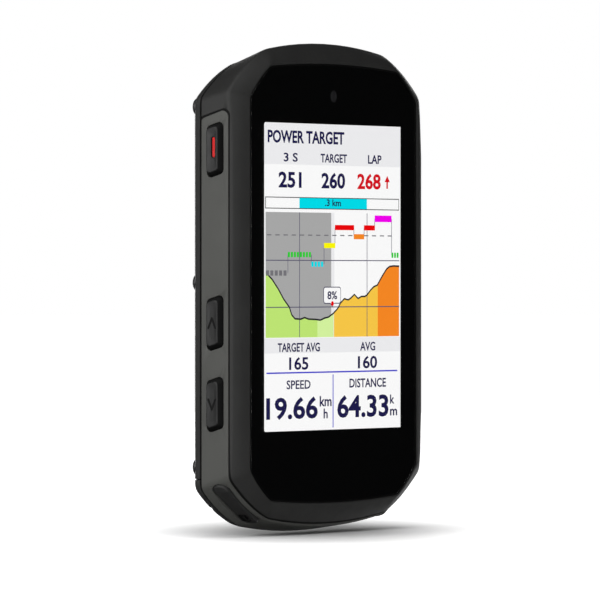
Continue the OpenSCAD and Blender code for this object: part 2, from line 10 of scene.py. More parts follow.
import bmesh
import bpy
import numpy as np
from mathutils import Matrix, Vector


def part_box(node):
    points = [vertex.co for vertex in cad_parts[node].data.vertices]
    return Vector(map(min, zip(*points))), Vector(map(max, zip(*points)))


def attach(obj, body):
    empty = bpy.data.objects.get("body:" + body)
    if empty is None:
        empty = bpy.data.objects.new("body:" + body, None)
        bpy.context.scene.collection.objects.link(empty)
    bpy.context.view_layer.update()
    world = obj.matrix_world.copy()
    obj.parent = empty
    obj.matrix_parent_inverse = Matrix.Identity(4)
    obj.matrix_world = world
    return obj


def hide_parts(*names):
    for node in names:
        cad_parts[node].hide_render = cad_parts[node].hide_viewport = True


MM = 0.001
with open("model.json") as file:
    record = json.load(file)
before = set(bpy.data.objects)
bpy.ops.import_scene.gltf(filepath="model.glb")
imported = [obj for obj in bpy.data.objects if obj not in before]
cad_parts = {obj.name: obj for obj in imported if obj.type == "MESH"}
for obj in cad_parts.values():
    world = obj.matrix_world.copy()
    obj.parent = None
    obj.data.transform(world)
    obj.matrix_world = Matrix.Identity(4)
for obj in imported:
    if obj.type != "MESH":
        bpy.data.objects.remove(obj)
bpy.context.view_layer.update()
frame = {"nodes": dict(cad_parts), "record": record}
scene = bpy.context.scene


# ---------------------------------------------------------------- sizes


def span(node):
    """A CAD node's lowest and highest corners in millimetres."""
    low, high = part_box(node)
    return np.array(low) / MM, np.array(high) / MM


bezel_low, bezel_high = span("front_bezel")
back_low, back_high = span("rear_cover")
chin_low, _ = span("rear_chin")
glass_low, glass_high = span("cover_glass")
plate_low, plate_high = span("mount_plate")
port_low, port_high = span("usb_receptacle")
tongue_low, tongue_high = span("usb_tongue")

OVERALL_D = -bezel_low[1]
FRONT_D = bezel_high[1] + OVERALL_D
REAR_D = back_low[1] + OVERALL_D
RIM = 0.3
LIP = 0.25

# An outline is half width, half width at the end facet, top, bottom, corner drop, end rise and
# corner radius. Straight sides lead to four corner arcs and two shallow end arcs.
GLASS = np.array([glass_high[0] + RIM, 19.25, glass_high[2] + RIM, glass_low[2] - RIM, 5.4, 0.8, 25])
BEZEL = np.array([bezel_high[0], 17.4, bezel_high[2], -41.5, 7.4, 1.45, 29])
BACK = np.array([back_high[0], 17.9, back_high[2], chin_low[2], 6.6, 1.4, 29])
HAUNCH = np.array([22.3, 14, 36.2, -38.4, 5.8, 1.0, 24])
BROW = np.array([18.6, 12, 31.8, -33, 7, 0.8, 22])
PLATEAU = np.array([15.8, 10.5, 25, -26.1, 6, 0.6, 20])
CAVITY = np.array([26, 16.6, 37.8, -39.2, 5.4, 1.2, 26])
CASE_SOFT = 0.9
GLASS_SOFT = 0.7
CASE_BEVEL = 0.08
EDGE_D = 2.0
EDGE_SIDES = 1.5
EDGE_ENDS = 2.3
EDGE_PROUD = 0.09
CUSHION = 0.26
SEAT_D = 1.15
LEDGE_D = 3.1
FLANK_D = 9.4
SLOPE_D = 10.2
INNER_BACK = 13.4
PLATE_D = plate_low[1] + OVERALL_D
PLATEAU_D = 16.0
SEAM_Z = -32.8
SEAM_GAP = 0.24
BAND_T = 1.0
BAND_GAP = 0.18
BAND_FRONT_D = 1.95
BAND_TOP_FRONT = 30.8
BAND_TOP_REAR = 29.0
BAND_DRAWN_IN = 0.15
JOINT_SINK = 0.14
LIP_R = 0.15

SCREWS = [(side * 26.3, z) for side in (-1, 1) for z in (31, 0.9, -30.7)]
SCREW_SEAT = 9.35
HOLE_R = 0.9
SEAT_R = 2.1
SHANK_R = 0.8
MOUNT_SCREW_R = 6.5
PLATE_R = 14.0
VENT_R = 0.5
VENT_Z = 22.4
MOUNT_SCREWS = [
    (MOUNT_SCREW_R * math.cos(a), MOUNT_SCREW_R * math.sin(a)) for a in np.radians([45, 135, 225, 315])
]

STEM_Y = 5.2
CAP_FOOT = 1.55
POCKET = 2.15
BUTTON_L = 9.0
BUTTON_Y0 = 3.1
BUTTON_Y1 = 6.75
BUTTON_SLANT = 0.28
BUTTON_PROUD = 0.95
BUTTON_GAP = 0.12
TAPER_START = 0.1
FACE_INSET = 0.72
DISH = 0.06
SHOULDER = 0.14
# Thickness of the near-black sheet that paints shade on the side keys' walls
SHADE_SKIRT_T = 0.03
CORNER_Y = 4.5
CORNER_L = 12.4
CORNER_W = 3.2
CORNER_PROUD = 0.35

FAR = 60.0


# ---------------------------------------------------------------- outlines


def unit(v):
    return v / np.linalg.norm(v, axis=-1, keepdims=True)


def inset(spec, t):
    """The outline moved inwards by t, nearly parallel to itself."""
    return spec - t * np.array([1, 0.31, 1, -1, 0.72, 0, 1])


def body_spec(y):
    return BEZEL + (BACK - BEZEL) * (y - EDGE_D) / (REAR_D - EDGE_D)


def stretch(p, q, radius, shares):
    """Points at these shares of the way from p to q, on an arc that bulges outwards, or a line."""
    p, q = np.array(p, float), np.array(q, float)
    if radius is None:
        return p + (q - p) * shares[:, None]
    way = q - p
    length = np.linalg.norm(way)
    centre = (p + q) / 2 + np.array([-way[1], way[0]]) / length * math.sqrt(radius**2 - length**2 / 4)
    start = math.atan2(p[1] - centre[1], p[0] - centre[0])
    turn = start + 2 * math.asin(length / 2 / radius) * shares
    return centre + radius * np.stack([np.cos(turn), np.sin(turn)], 1)


def outline(spec, soft=0.8):
    """Points of the closed outline in x and z, with the kink at each corner softened."""
    w, e, top, bottom, drop, rise, radius = spec
    t2, b2 = top - rise, bottom + rise
    t1, b1 = t2 - drop, b2 + drop
    end = (e * e + rise * rise) / (2 * rise)
    kinks = [(w, t1), (e, t2), (-e, t2), (-w, t1), (-w, b1), (-e, b2), (e, b2), (w, b1)]
    runs = []
    for k, (r, steps) in enumerate([(radius, 8), (end, 14), (radius, 8), (None, 8)] * 2):
        p, q = kinks[k], kinks[(k + 1) % 8]
        trim = soft / math.dist(p, q)
        shares = trim + (1 - 2 * trim) * (1 - np.cos(np.linspace(0, math.pi, steps + 1))) / 2
        runs.append(stretch(p, q, r, shares))
    points = []
    for k, kink in enumerate(kinks):
        for t in (0.25, 0.5, 0.75):
            ends = (1 - t) ** 2 * runs[k - 1][-1] + t * t * runs[k][0]
            points.append(ends + 2 * t * (1 - t) * np.array(kink))
        points.extend(runs[k])
    return np.array(points)


def ring(spec, y, soft=0.8):
    """The outline at depth y, which may be a function of z."""
    flat = outline(spec, soft)
    depth = y(flat[:, 1]) if callable(y) else np.full(len(flat), float(y))
    return np.stack([flat[:, 0], depth, flat[:, 1]], 1)


def edge_depth(z):
    """Depth of the bezel's outer edge, which dips towards the top and bottom of the case."""
    share = np.clip((np.abs(z) - 25) / 13, 0, 1)
    return EDGE_SIDES + (EDGE_ENDS - EDGE_SIDES) * share * share * (3 - 2 * share)


def soften(rings, widths, steps=4):
    """The rings, with the corner at each inner one rounded over its width on either side."""
    made = [rings[0]]
    for before, corner, after, width in zip(rings, rings[1:], rings[2:], widths):
        a = corner + unit(before - corner) * width
        b = corner + unit(after - corner) * width
        for t in np.linspace(0, 1, steps + 1):
            made.append((1 - t) ** 2 * a + 2 * t * (1 - t) * corner + t * t * b)
    return made + [rings[-1]]


def rounded(points, radius, steps=6):
    """The flat polygon with each corner rounded."""
    made = []
    count = len(points)
    for i in range(count):
        p = np.array(points[i], float)
        u = unit(np.array(points[i - 1], float) - p)
        v = unit(np.array(points[(i + 1) % count], float) - p)
        half = math.acos(float(u @ v)) / 2
        reach = radius / math.tan(half)
        centre = p + unit(u + v) * radius / math.sin(half)
        first, last = p + u * reach - centre, p + v * reach - centre
        for a in np.linspace(0, math.pi / 2, steps + 1):
            made.append(centre + radius * unit(first * math.cos(a) + last * math.sin(a)))
    return np.array(made)


def rounded_box(w, h, radius, centre=(0, 0), steps=6):
    corners = [(-w / 2, -h / 2), (w / 2, -h / 2), (w / 2, h / 2), (-w / 2, h / 2)]
    return rounded(corners, radius, steps) + np.array(centre)


def circle(radius, centre=(0, 0), steps=48):
    a = np.linspace(0, 2 * math.pi, steps, endpoint=False)
    return np.stack([np.cos(a), np.sin(a)], 1) * radius + np.array(centre)


# ---------------------------------------------------------------- shells
# A shell is a list of points and a list of faces that close it.


def skin(rings):
    n = len(rings[0])
    points = np.concatenate(rings)
    faces = [list(range(n))[::-1], list(range(len(points) - n, len(points)))]
    for i in range(len(rings) - 1):
        for j in range(n):
            a, b = i * n + j, i * n + (j + 1) % n
            faces.append([a, b, b + n, a + n])
    return points, faces


def slab(flat, y0, y1):
    """A flat outline in x and z carried from depth y0 to y1."""
    return skin([np.stack([flat[:, 0], np.full(len(flat), float(y)), flat[:, 1]], 1) for y in (y0, y1)])


def turned(profile, centre=(0, 0), steps=48):
    """A solid of revolution about a line along y, from (radius, depth) pairs."""
    return skin([
        np.stack([c[:, 0], np.full(steps, float(y)), c[:, 1]], 1)
        for c, y in ((circle(r, centre, steps), y) for r, y in profile)
    ])


def bored(profile, steps=32):
    """The same as turned(), about the x axis, from (radius, x) pairs."""
    points, faces = turned(profile, steps=steps)
    return points[:, [1, 0, 2]], faces


def block(low, high):
    (x0, y0, z0), (x1, y1, z1) = low, high
    return skin([np.array([(x0, y, z0), (x1, y, z0), (x1, y, z1), (x0, y, z1)], float) for y in (y0, y1)])


def moved(shell, shift=(0, 0, 0), turn=0.0):
    """The shell turned about y, then shifted."""
    points, faces = shell
    c, s = math.cos(turn), math.sin(turn)
    x, y, z = np.array(points, float).T
    return np.stack([x * c + z * s, y, z * c - x * s], 1) + np.array(shift, float), faces


def build(name, *shells):
    """A mesh object of these shells, in the frame's place and in metres."""
    bm = bmesh.new()
    for points, faces in shells:
        verts = [bm.verts.new((x * MM, (y - OVERALL_D) * MM, z * MM)) for x, y, z in points]
        for face in faces:
            bm.faces.new([verts[i] for i in face])
    bmesh.ops.recalc_face_normals(bm, faces=bm.faces)
    mesh = bpy.data.meshes.new(name)
    bm.to_mesh(mesh)
    bm.free()
    obj = bpy.data.objects.new(name, mesh)
    scene.collection.objects.link(obj)
    return obj


def bake(obj):
    """Applies the modifiers to the mesh."""
    graph = bpy.context.evaluated_depsgraph_get()
    mesh = bpy.data.meshes.new_from_object(obj.evaluated_get(graph))
    obj.modifiers.clear()
    obj.data = mesh


def combine(obj, operation, *shells):
    """Cuts the shells from the object, adds them to it or keeps what they share."""
    tools = [build("tool", shell) if isinstance(shell, tuple) else shell for shell in shells]
    for tool in tools:
        step = obj.modifiers.new("step", "BOOLEAN")
        step.operation = operation
        step.solver = "EXACT"
        step.object = tool
    bake(obj)
    for tool in tools:
        bpy.data.objects.remove(tool)
    return obj


def cut(obj, *shells):
    return combine(obj, "DIFFERENCE", *shells)


def join(obj, *shells):
    return combine(obj, "UNION", *shells)


def share(obj, *shells):
    return combine(obj, "INTERSECT", *shells)


def smooth(obj, bevel=0.0, segments=2, merge=0.02):
    """Cleans the mesh, rounds its sharp edges and shades it."""
    bm = bmesh.new()
    bm.from_mesh(obj.data)
    bmesh.ops.remove_doubles(bm, verts=bm.verts, dist=merge * MM)
    bmesh.ops.dissolve_degenerate(bm, edges=bm.edges, dist=0.004 * MM)
    bmesh.ops.triangulate(bm, faces=[face for face in bm.faces if len(face.verts) > 4])
    bmesh.ops.recalc_face_normals(bm, faces=bm.faces)
    bm.to_mesh(obj.data)
    bm.free()
    if bevel:
        step = obj.modifiers.new("round", "BEVEL")
        step.width = bevel * MM
        step.segments = segments
        step.limit_method = "ANGLE"
        step.angle_limit = math.radians(26)
        step.use_clamp_overlap = False
        step.loop_slide = False
        bake(obj)
    obj.data.shade_smooth()
    obj.data.set_sharp_from_angle(angle=math.radians(38))
    step = obj.modifiers.new("normals", "WEIGHTED_NORMAL")
    step.keep_sharp = True
    step.weight = 80
    bake(obj)
    return obj


def piece(obj, slot, body="housing", replaces=()):
    """Gives the piece its finish, and sets it on its body in place of these CAD nodes."""
    obj.data.materials.clear()
    obj.data.materials.append(materials[slot])
    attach(obj, body)
    if replaces:
        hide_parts(*replaces)
    return obj


# ---------------------------------------------------------------- materials


def linear(r, g, b):
    """Scene values of a colour given as 0 to 255 on screen."""
    return tuple(((c / 255 + 0.055) / 1.055) ** 2.4 if c > 10 else c / 255 / 12.92 for c in (r, g, b))


def nodes_of(name):
    material = bpy.data.materials.new(name)
    material.use_nodes = True
    tree = material.node_tree
    tree.nodes.clear()
    return material, tree


def add(tree, kind, **values):
    """A node with these inputs or properties set. An input's name has _ for its spaces."""
    node = tree.nodes.new(kind)
    for key, value in values.items():
        label = key.replace("_", " ")
        if label in node.inputs:
            node.inputs[label].default_value = value
        else:
            setattr(node, key, value)
    return node


def noise(tree, size, detail=2.0):
    """Noise whose features are about size millimetres across, fixed to the object."""
    place = add(tree, "ShaderNodeTexCoord")
    texture = add(tree, "ShaderNodeTexNoise", Scale=1 / (size * MM), Detail=detail)
    tree.links.new(place.outputs["Object"], texture.inputs["Vector"])
    return texture.outputs["Fac"]


def spread(tree, value, low, high):
    """The value from 0 to 1 spread between low and high."""
    node = add(tree, "ShaderNodeMapRange", From_Min=0.3, From_Max=0.7, To_Min=low, To_Max=high)
    tree.links.new(value, node.inputs["Value"])
    return node.outputs["Result"]


def surface(name, colour, roughness, metallic=0.0, mottle=0.06, grain=0.0, grain_size=0.2, coat=0.0,
            specular=0.5, sheen=0.0):
    """Adds a moulded, painted or metal finish: mottled colour, uneven gloss and a fine grain."""
    material, tree = nodes_of(name)
    shader = add(tree, "ShaderNodeBsdfPrincipled", Metallic=metallic, Coat_Weight=coat,
                 Coat_Roughness=0.08, Sheen_Weight=sheen)
    shader.inputs["Specular IOR Level"].default_value = specular
    out = add(tree, "ShaderNodeOutputMaterial")
    tree.links.new(shader.outputs[0], out.inputs["Surface"])
    tint = add(tree, "ShaderNodeHueSaturation", Color=(*colour, 1))
    tree.links.new(spread(tree, noise(tree, 6.0), 1 - mottle, 1 + mottle), tint.inputs["Value"])
    tree.links.new(tint.outputs["Color"], shader.inputs["Base Color"])
    gloss = spread(tree, noise(tree, 1.5, 4.0), roughness * 0.93, roughness * 1.07)
    tree.links.new(gloss, shader.inputs["Roughness"])
    if grain:
        bump = add(tree, "ShaderNodeBump", Strength=1.0, Distance=grain * MM)
        tree.links.new(noise(tree, grain_size, 3.0), bump.inputs["Height"])
        tree.links.new(bump.outputs["Normal"], shader.inputs["Normal"])
    materials[name] = material


def clear_glass(name):
    """Bonded glass, which lets everything through but its surface's reflection."""
    material, tree = nodes_of(name)
    through = add(tree, "ShaderNodeBsdfTransparent")
    gloss = add(tree, "ShaderNodeBsdfGlossy")
    tree.links.new(spread(tree, noise(tree, 4.0), 0.05, 0.08), gloss.inputs["Roughness"])
    both = add(tree, "ShaderNodeMixShader")
    tilt = add(tree, "ShaderNodeMath", operation="POWER")
    tree.links.new(add(tree, "ShaderNodeLayerWeight", Blend=0.5).outputs["Facing"], tilt.inputs[0])
    tilt.inputs[1].default_value = 5.0
    share_of_light = add(tree, "ShaderNodeMapRange", To_Min=0.04, To_Max=1.0)
    tree.links.new(tilt.outputs[0], share_of_light.inputs["Value"])
    tree.links.new(share_of_light.outputs["Result"], both.inputs[0])
    tree.links.new(through.outputs[0], both.inputs[1])
    tree.links.new(gloss.outputs[0], both.inputs[2])
    out = add(tree, "ShaderNodeOutputMaterial")
    tree.links.new(both.outputs[0], out.inputs["Surface"])
    return material


def lit(name, colour, strength=1.0):
    """A patch of the lit display. The cell's own fine unevenness is in its brightness."""
    material, tree = nodes_of(name)
    glow = add(tree, "ShaderNodeEmission", Color=(*colour, 1))
    out = add(tree, "ShaderNodeOutputMaterial")
    tree.links.new(glow.outputs[0], out.inputs["Surface"])
    uneven = spread(tree, noise(tree, 0.3), strength * 0.995, strength * 1.005)
    tree.links.new(uneven, glow.inputs["Strength"])
    return material


for imported in list(bpy.data.materials):
    bpy.data.materials.remove(imported)
materials = {}
surface("case_plastic", (0.028, 0.028, 0.0274), 0.5, grain=0.006, grain_size=0.16, specular=0.2)
surface("band_plastic", (0.064, 0.065, 0.06), 0.48, grain=0.006, grain_size=0.2, specular=0.32)
surface("button_plastic", (0.008, 0.008, 0.008), 0.42, grain=0.004, grain_size=0.2, specular=0.33)
# A lighter copy of the button plastic for the corner keys: painted light on their down-facing faces
surface("corner_plastic", (0.024, 0.024, 0.0236), 0.5, grain=0.004, grain_size=0.2, specular=0.25)
surface("mark_red", (0.5, 0.008, 0.008), 0.45, specular=0.2)
# Near-black rubber: the glass gasket and the glyphs' fill, and also the sheets and strips that paint shade on
# the side keys' walls, in the band's joint and in the rear seam
surface("seal_rubber", (0.002, 0.002, 0.002), 0.7, specular=0.2)
surface("door_rubber", (0.022, 0.022, 0.022), 0.66, grain=0.006, grain_size=0.14, sheen=0.1)
surface("glass_black", (0.0012, 0.0012, 0.0014), 0.3, specular=0.2)
surface("adhesive", (0.5, 0.5, 0.48), 0.3)
surface("lcd_cell", (0.02, 0.02, 0.025), 0.2)
surface("white_plastic", (0.72, 0.72, 0.7), 0.5, grain=0.005)
surface("chip_plastic", (0.02, 0.02, 0.022), 0.55, grain=0.008, grain_size=0.1)
surface("flex_film", (0.55, 0.26, 0.06), 0.35, mottle=0.12)
surface("connector_plastic", (0.68, 0.62, 0.5), 0.45)
surface("frame_metal", (0.35, 0.36, 0.38), 0.42, metallic=1.0, grain=0.004)
surface("screw_steel", (0.56, 0.56, 0.57), 0.28, metallic=1.0, grain=0.003, grain_size=0.3)
surface("screw_black", (0.035, 0.035, 0.036), 0.36, metallic=0.4, grain=0.003)
surface("sheet_steel", (0.6, 0.6, 0.61), 0.3, metallic=1.0, grain=0.003, grain_size=0.4)
surface("brass", (0.75, 0.5, 0.2), 0.3, metallic=1.0, grain=0.003)
surface("board", (0.012, 0.09, 0.045), 0.4, mottle=0.15, grain=0.01, grain_size=0.5, coat=0.3)
surface("antenna_ceramic", (0.6, 0.52, 0.38), 0.5, grain=0.004)
surface("battery_pouch", (0.5, 0.51, 0.52), 0.34, metallic=0.8, grain=0.02, grain_size=1.2)
surface("foam", (0.05, 0.05, 0.055), 0.9, grain=0.03, grain_size=0.3)
surface("wire", (0.5, 0.02, 0.02), 0.4)
surface("mount_plastic", (0.026, 0.026, 0.027), 0.42, grain=0.005, grain_size=0.2)

slot_of = {part["node"]: part["material_slot"] for part in frame["record"]["subparts"]}
for node, obj in frame["nodes"].items():
    obj.data.materials.clear()
    obj.data.materials.append(materials[slot_of[node]])


# ---------------------------------------------------------------- the case


def front_form(grow=0.0):
    """The front half's outer form: a lip round the glass, a cushioned bezel and the side wall."""
    lip = ring(inset(GLASS, -LIP - grow), -grow, GLASS_SOFT)
    edge = ring(inset(BEZEL, -grow - EDGE_PROUD), edge_depth, CASE_SOFT)
    middle = (lip + edge) / 2 + np.array([0, -CUSHION, 0])
    back = ring(inset(body_spec(FRONT_D), -grow), FRONT_D, CASE_SOFT)
    return skin(soften([lip, middle, edge, back], [1.1, 0.5]))


def band_core():
    return skin([ring(inset(body_spec(y), BAND_T), y, CASE_SOFT) for y in (1, REAR_D + 1)])


def band_reach(grow=0.0):
    """The band's reach, which ends in a slanted edge high on each side."""
    front, rear = BAND_FRONT_D - grow, REAR_D + grow
    side = [(front, -FAR), (rear, -FAR), (rear, BAND_TOP_REAR + grow), (front, BAND_TOP_FRONT + grow)]
    flat = rounded(side, 1.2)
    return skin([np.stack([np.full(len(flat), x), flat[:, 0], flat[:, 1]], 1) for x in (-FAR, FAR)])


def rear_form(forward=0.0, shrink=0.0):
    """The rear half's outer form, moved forward and drawn in."""
    rings = soften(
        [
            ring(inset(BACK, shrink), REAR_D, CASE_SOFT),
            ring(inset(BACK, 0.25 + shrink), FLANK_D, CASE_SOFT),
            ring(inset(BACK, 1.2 + shrink), SLOPE_D, CASE_SOFT),
            ring(inset(HAUNCH, shrink), INNER_BACK, CASE_SOFT),
            ring(inset(BROW, shrink), PLATE_D, CASE_SOFT),
            ring(inset(PLATEAU, shrink), PLATEAU_D, CASE_SOFT),
            ring(inset(PLATEAU, 1.2 + shrink), PLATEAU_D, CASE_SOFT),
        ],
        [0.35, 0.4, 0.9, 0.9, 0.6],
    )
    return skin([r - np.array([0, forward, 0]) for r in rings])


def rear_hollow():
    return skin([
        ring(inset(BACK, 2.4), REAR_D - 0.1),
        ring(inset(BACK, 2.6), 9),
        ring(inset(HAUNCH, 0.9), 12.2),
        ring(inset(BROW, 0.4), 13.3),
        ring(PLATEAU, INNER_BACK),
    ])


# Each button has a place in x and z on the case's outer face, the angle that turns +x to the way
# it is pressed, and the side that it is on.
BUTTON_MID = BUTTON_L / 2 + BUTTON_SLANT * (BUTTON_Y1 - BUTTON_Y0) / 2
corner_spec = body_spec(CORNER_Y)
corner_a = np.array([-corner_spec[0], corner_spec[3] + corner_spec[5] + corner_spec[4]])
corner_b = np.array([-corner_spec[1], corner_spec[3] + corner_spec[5]])
corner_run = np.linalg.norm(corner_b - corner_a)
corner_in = np.array([-(corner_b - corner_a)[1], (corner_b - corner_a)[0]]) / corner_run
corner_sag = corner_spec[6] - math.sqrt(corner_spec[6] ** 2 - (corner_run / 2) ** 2)
corner_mid = (corner_a + corner_b) / 2 - corner_sag * corner_in
corner_turn = -math.atan2(corner_in[1], corner_in[0])
BUTTONS = {
    "power": (-BEZEL[0], 28.6 - BUTTON_MID, 0.0, 1),
    "up": (-BEZEL[0], -1.0 - BUTTON_MID, 0.0, 1),
    "down": (-BEZEL[0], -14.9 - BUTTON_MID, 0.0, 1),
    "lap": (corner_mid[0], corner_mid[1], corner_turn, 1),
    "select": (-BEZEL[0], -1.0 - BUTTON_MID, 0.0, -1),
    "return": (-BEZEL[0], -14.9 - BUTTON_MID, 0.0, -1),
    "start": (corner_mid[0], corner_mid[1], corner_turn, -1),
}
CORNERS = ("lap", "start")


def at_button(name, shell):
    """A shell drawn with +x as the way the button is pressed, put where the button is."""
    x, z, turn, side = BUTTONS[name]
    points, faces = moved(shell, (x, STEM_Y, z), turn)
    return points * np.array([side, 1, 1]), faces


def button_outline(drawn_in):
    """A side button's outline in y and z about its stem."""
    front, rear = BUTTON_Y0 + drawn_in - STEM_Y, BUTTON_Y1 - drawn_in - STEM_Y
    mid, half = (BUTTON_Y0 + BUTTON_Y1) / 2 - STEM_Y, BUTTON_L / 2 - drawn_in
    fall, rise = -BUTTON_SLANT * (front - mid), -BUTTON_SLANT * (rear - mid)
    corners = [(front, fall - half), (rear, rise - half), (rear, rise + half), (front, fall + half)]
    return rounded(corners, max(0.35, 0.9 - 0.4 * drawn_in))


def side_ring(s, drawn_in):
    flat = button_outline(drawn_in)
    return np.stack([np.full(len(flat), float(s)), flat[:, 0], flat[:, 1]], 1)


def corner_ring(s, grow, curved=0.0):
    """A corner button's outline at s, which follows the curve of the case's wall where curved is 1."""
    flat = rounded_box(CORNER_W + 2 * grow, CORNER_L + 2 * grow, CORNER_W / 2 - 0.1 + grow, steps=10)
    wall = corner_spec[6] - np.sqrt(corner_spec[6] ** 2 - flat[:, 1] ** 2)
    return np.stack([s + curved * wall, flat[:, 0] + CORNER_Y - STEM_Y, flat[:, 1]], 1)


def passages():
    for name in BUTTONS:
        if name in CORNERS:
            yield at_button(name, skin([corner_ring(-5, BUTTON_GAP), corner_ring(POCKET, BUTTON_GAP)]))
        else:
            yield at_button(name, skin([side_ring(-5, 0), side_ring(POCKET, 0)]))


def recess():
    """The glass's recess in the front, whose mouth is rounded."""
    a = np.linspace(0.25, math.pi / 2, 6)
    mouth = [ring(inset(GLASS, LIP_R * (math.sin(t) - 1)), LIP_R * (1 - math.cos(t)) - 0.004, GLASS_SOFT)
             for t in a]
    return skin([mouth[0] - np.array([0, 1, 0]), *mouth, ring(GLASS, SEAT_D, GLASS_SOFT)])


# The front half, with its groove for the band
groove = cut(build("groove", band_reach(BAND_GAP)), band_core())
bezel = cut(
    build("bezel_shell", front_form()),
    recess(),
    slab(outline(inset(GLASS, 2.2), GLASS_SOFT), 0, LEDGE_D + 0.01),
    slab(outline(CAVITY), LEDGE_D, FAR),
    groove,
    *passages(),
)
piece(smooth(bezel, CASE_BEVEL), "case_plastic", replaces=["front_bezel"])

band = share(build("grip_band", front_form()), band_reach(-BAND_DRAWN_IN))
cut(band, band_core(), *passages())
piece(smooth(band, CASE_BEVEL), "band_plastic", replaces=["side_band"])

# A near-black strip lies just under the surface in the joint round the band, part seal and part painted shade
# that keeps the gap dark
joint = share(build("band_seal", front_form(-JOINT_SINK)), band_reach(BAND_GAP - 0.01))
cut(joint, band_core(), band_reach(0.01 - BAND_DRAWN_IN), *passages())
piece(smooth(joint), "seal_rubber")


def screw_seats():
    for place in SCREWS:
        yield turned([(HOLE_R, 0), (HOLE_R, SCREW_SEAT), (SEAT_R, SCREW_SEAT), (SEAT_R, FAR)], place)


# The rear half: cover, chin and the hinged door of the port
rear = cut(
    build("back_shell", rear_form()),
    share(build("hollow", rear_hollow()), block((-FAR, 0, SEAM_Z + SEAM_GAP / 2 + 1.2), (FAR, FAR, FAR))),
    block((-FAR, 0, -FAR), (FAR, FAR, SEAM_Z + SEAM_GAP / 2)),
    *screw_seats(),
    turned([(PLATE_R + 0.05, PLATE_D), (PLATE_R + 0.05, FAR)], steps=96),
    *[turned([(SHANK_R, 0), (SHANK_R, FAR)], place) for place in MOUNT_SCREWS],
    turned([(VENT_R, 0), (VENT_R, PLATEAU_D - 0.2), (VENT_R + 0.4, PLATEAU_D + 0.4)], (0, VENT_Z)),
)
piece(smooth(rear, CASE_BEVEL), "case_plastic", replaces=["rear_cover"])

# A near-black strip lies just under the surface in the seam between the cover and the chin, part seal and
# part painted shade that keeps the seam dark
SEAM_SINK = 0.15
strip = share(
    build("seam_seal", rear_form(SEAM_SINK, SEAM_SINK)),
    block((-FAR, REAR_D, SEAM_Z - SEAM_GAP / 2), (FAR, FAR, SEAM_Z + SEAM_GAP / 2)),
)
piece(smooth(strip), "seal_rubber")

DOOR_W = 22.0
DOOR_BOTTOM = -40.3
DOOR_T = 1.2
DOOR_GAP = 0.12
NAIL_R = 2.2
HINGE_Z = -34.4
HINGE_Y = 13.85
HINGE_R = 0.7
HINGE_CLEAR = 0.1
PORT_Z = (port_low[2] + port_high[2]) / 2
PORT_W = port_high[0] - port_low[0]
PORT_H = port_high[2] - port_low[2]
PORT_MOUTH = port_high[1] + OVERALL_D
PORT_START = port_low[1] + OVERALL_D
PORT_FLOOR = PORT_START + 0.5
PORT_WALL = 0.3
PLUG_W, PLUG_H = 11.4, 4.3
HINGE_END = DOOR_W / 2 - 0.1


def door_reach(grow):
    """The door's reach from the front to the back, which is rounded at its lower corners."""
    height = HINGE_Z - DOOR_BOTTOM + HINGE_R + 1.8
    flat = rounded_box(DOOR_W + 2 * grow, height + 2 * grow, 1.6, (0, DOOR_BOTTOM + height / 2))
    return slab(flat, 0, FAR)


def corner_hole(s0, s1, radius, y0, y1):
    """A round hole by the lower left corner, from (s0, y0) to (s1, y1) along and across the case."""
    along = bored([(radius, s0), (radius, s1)]) if s0 != s1 else turned([(radius, y0), (radius, y1)], (s0, 0))
    return moved(along, (corner_mid[0], 9.15, corner_mid[1] - 0.5), corner_turn)


door_pocket = share(
    build("pocket", door_reach(0)), block((-FAR, 0, -FAR), (FAR, FAR, HINGE_Z + HINGE_R))
)
cut(door_pocket, rear_form(DOOR_T + 0.1))
chin = cut(
    build("chin_shell", rear_form()),
    block((-FAR, 0, SEAM_Z - SEAM_GAP / 2), (FAR, FAR, FAR)),
    *[share(build("hollow", rear_hollow()), block((side * 13 - 4, 0, -FAR), (side * 13 + 4, 9.4, HINGE_Z)))
      for side in (-1, 1)],
    door_pocket,
    moved(bored([(HINGE_R + HINGE_CLEAR, -HINGE_END), (HINGE_R + HINGE_CLEAR, HINGE_END)]),
          (0, HINGE_Y, HINGE_Z)),
    slab(rounded_box(PLUG_W + 0.6, PLUG_H + 0.7, 1.2, (0, PORT_Z)), PORT_MOUTH, FAR),
    slab(rounded_box(PORT_W + 0.1, PORT_H + 0.1, 1.5, (0, PORT_Z)), 0, FAR),
    slab(rounded_box(PORT_W + 2, PORT_H + 2, 2, (0, PORT_Z)), 0, 9.3),
    turned([(NAIL_R * math.sin(a), 12.2 - NAIL_R * math.cos(a)) for a in np.linspace(0.08, 3.06, 17)],
           (0, DOOR_BOTTOM - 1.6)),
    corner_hole(-4.1, 4.1, 0.75, 0, 0),
    corner_hole(3.4, 3.4, 0.65, -0.4, 7.6),
)
piece(smooth(chin, CASE_BEVEL), "case_plastic", replaces=["rear_chin"])

door = share(
    build("port_flap", rear_form()), door_reach(-DOOR_GAP), block((-FAR, 0, -FAR), (FAR, FAR, HINGE_Z))
)
cut(door, rear_form(DOOR_T))
plug = share(
    build("plug", slab(rounded_box(PLUG_W, PLUG_H, 1, (0, PORT_Z)), PORT_MOUTH + 0.3, FAR)),
    rear_form(DOOR_T / 2),
)
join(
    door,
    moved(bored([(HINGE_R, 0.4 - HINGE_END), (HINGE_R, HINGE_END - 0.4)]), (0, HINGE_Y, HINGE_Z)),
    plug,
)
piece(smooth(door, CASE_BEVEL), "door_rubber", "port_door", ["port_door"])


# ---------------------------------------------------------------- buttons


def corner_cap(name):
    """A cap with a rounded shoulder, whose face follows the case's wall."""
    face = [corner_ring(-CORNER_PROUD, grow, 1) for grow in (0, -1, -1.45)]
    rings = soften([corner_ring(CAP_FOOT, 0), *face[:2]], [0.36], 6)
    return build(name + "_key", at_button(name, skin([*rings, face[2]])))


